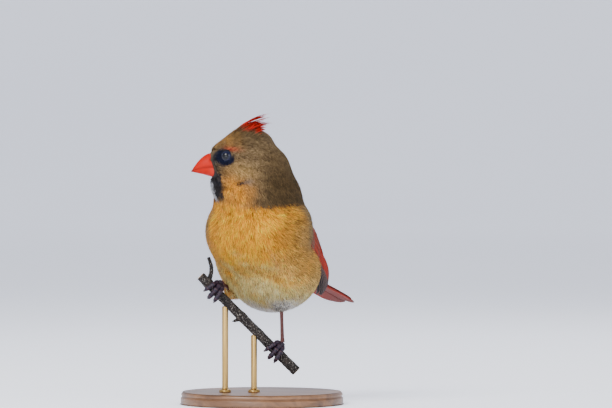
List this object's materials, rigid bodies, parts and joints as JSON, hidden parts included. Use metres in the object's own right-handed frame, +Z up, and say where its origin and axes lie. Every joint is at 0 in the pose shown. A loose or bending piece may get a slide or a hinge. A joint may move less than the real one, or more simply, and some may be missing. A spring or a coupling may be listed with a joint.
{
  "type": "bird model on a stand",
  "caption": "Life-size female northern cardinal gripping a cut length of branch, head turned to its right, on a round wooden stand with two brass rods.",
  "frame": {"origin": "centre of the stand base's underside, on the surface it stands on", "axes": "+Z up, the bird's breast faces -Y and its left side is +X"},
  "size_m": [0.104, 0.1673, 0.1859],
  "materials": {
    "coat_buff": "buff-orange body feathers",
    "coat_grey": "grey-brown head feathers",
    "bill_horn": "smooth orange-red horn",
    "eye_glass": "wet dark brown eye",
    "wing_feather": "brown and red wing feathers",
    "tail_feather": "dull red tail feathers",
    "leg_scale": "dark reddish-brown scales",
    "claw_horn": "dark horn",
    "bark": "dark bark with pale flecks",
    "stand_wood": "oiled walnut",
    "stand_brass": "satin brass"
  },
  "bodies": {
    "root": {"torso": "coat_buff", "neck": "coat_grey", "head": "coat_grey", "bill_upper": "bill_horn", "bill_lower": "bill_horn", "eye_left": "eye_glass", "eye_right": "eye_glass", "wing_left": "wing_feather", "wing_right": "wing_feather", "tail": "tail_feather", "thigh_left": "coat_buff", "thigh_right": "coat_buff", "shank_left": "leg_scale", "shank_right": "leg_scale", "foot_left": "leg_scale", "foot_right": "leg_scale", "claw_left_inner": "claw_horn", "claw_left_middle": "claw_horn", "claw_left_outer": "claw_horn", "claw_left_hind": "claw_horn", "claw_right_inner": "claw_horn", "claw_right_middle": "claw_horn", "claw_right_outer": "claw_horn", "claw_right_hind": "claw_horn", "perch": "bark", "stand_base": "stand_wood", "stand_rod_short": "stand_brass", "stand_rod_tall": "stand_brass"}
  },
  "joints": []
}
